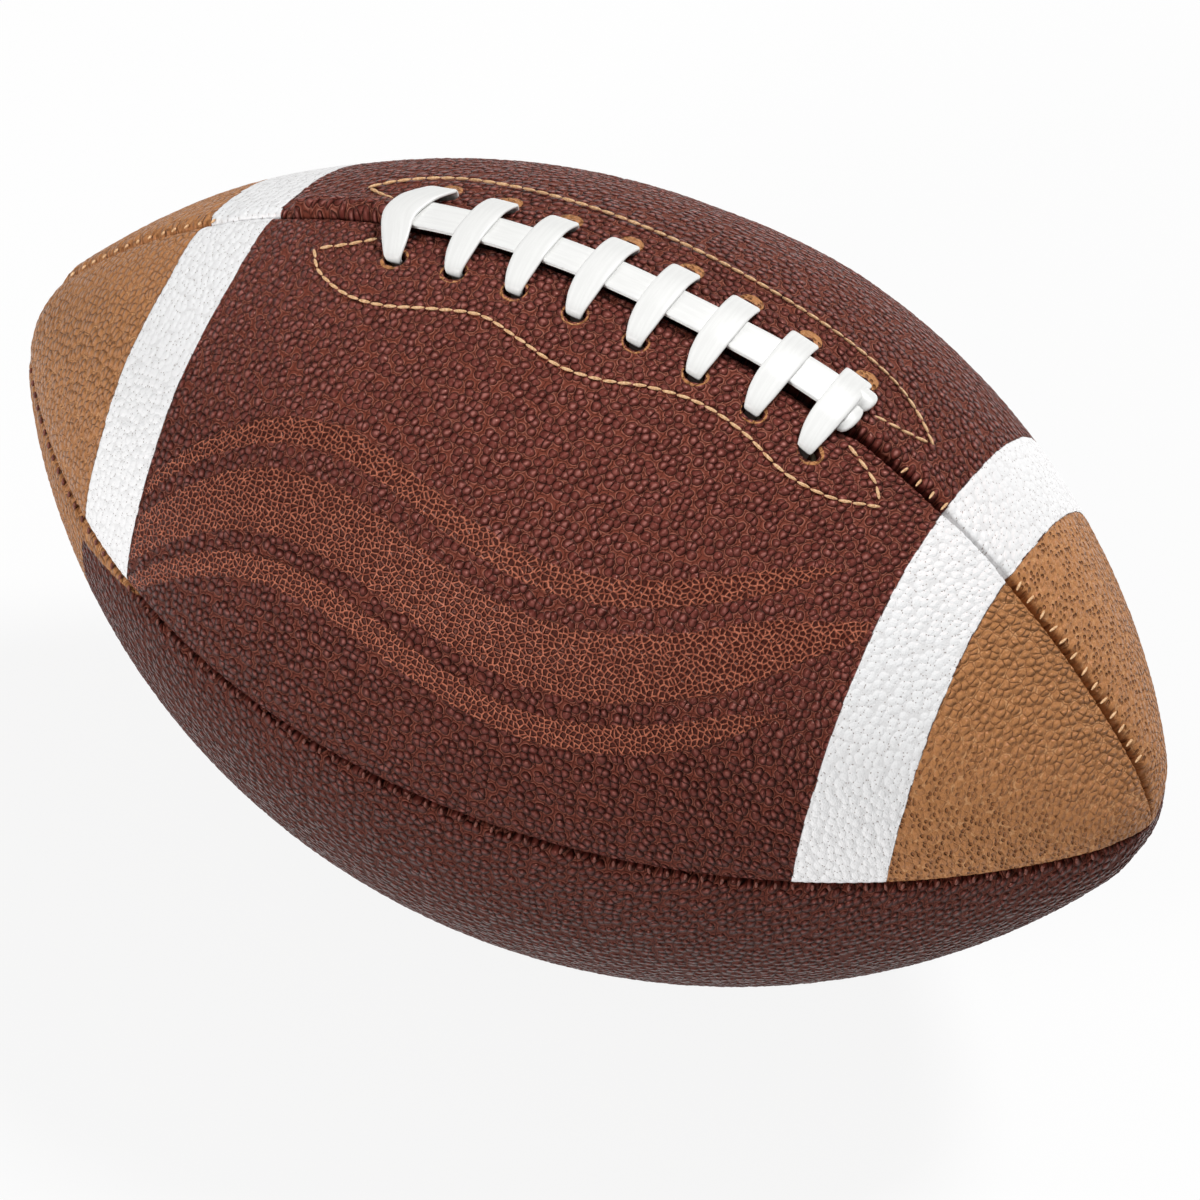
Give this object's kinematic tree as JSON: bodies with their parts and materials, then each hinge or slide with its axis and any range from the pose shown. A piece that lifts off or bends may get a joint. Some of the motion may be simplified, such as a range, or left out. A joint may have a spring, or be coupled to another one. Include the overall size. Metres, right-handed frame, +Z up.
{
  "type": "american football",
  "caption": "Prolate leather football in stitched panels, with painted end stripes, a raised flat lace and an inflating valve.",
  "frame": {"origin": "under the middle of the ball, on the bottom seam that it stands on", "axes": "+X along the ball from nose to nose, +Z up through the lace, so that the pictured side faces -Y"},
  "size_m": [0.2818, 0.171, 0.1764],
  "materials": {
    "cover_leather": "pebbled, satin, painted white and tan at the ends",
    "lining_fabric": "plain woven cotton",
    "bladder_rubber": "matt",
    "valve_rubber": "satin",
    "plug_rubber": "matt",
    "patch_leather": "raw flesh side",
    "guard_leather": "raw flesh side",
    "lace_vinyl": "satin",
    "patch_thread": "waxed twisted thread",
    "seam_thread": "waxed twisted thread"
  },
  "bodies": {
    "root": {"panel_front_top": "cover_leather", "panel_back_top": "cover_leather", "panel_front_bottom": "cover_leather", "panel_back_bottom": "cover_leather", "lining_front_top": "lining_fabric", "lining_back_top": "lining_fabric", "lining_front_bottom": "lining_fabric", "lining_back_bottom": "lining_fabric", "bladder": "bladder_rubber", "valve_body": "valve_rubber", "valve_plug": "plug_rubber", "lace_patch_front": "patch_leather", "lace_patch_back": "patch_leather", "lace_guard": "guard_leather", "lace": "lace_vinyl", "patch_stitching_front": "patch_thread", "patch_stitching_back": "patch_thread", "seam_thread_top": "seam_thread", "seam_thread_bottom": "seam_thread", "seam_thread_front": "seam_thread", "seam_thread_back": "seam_thread"}
  },
  "joints": []
}
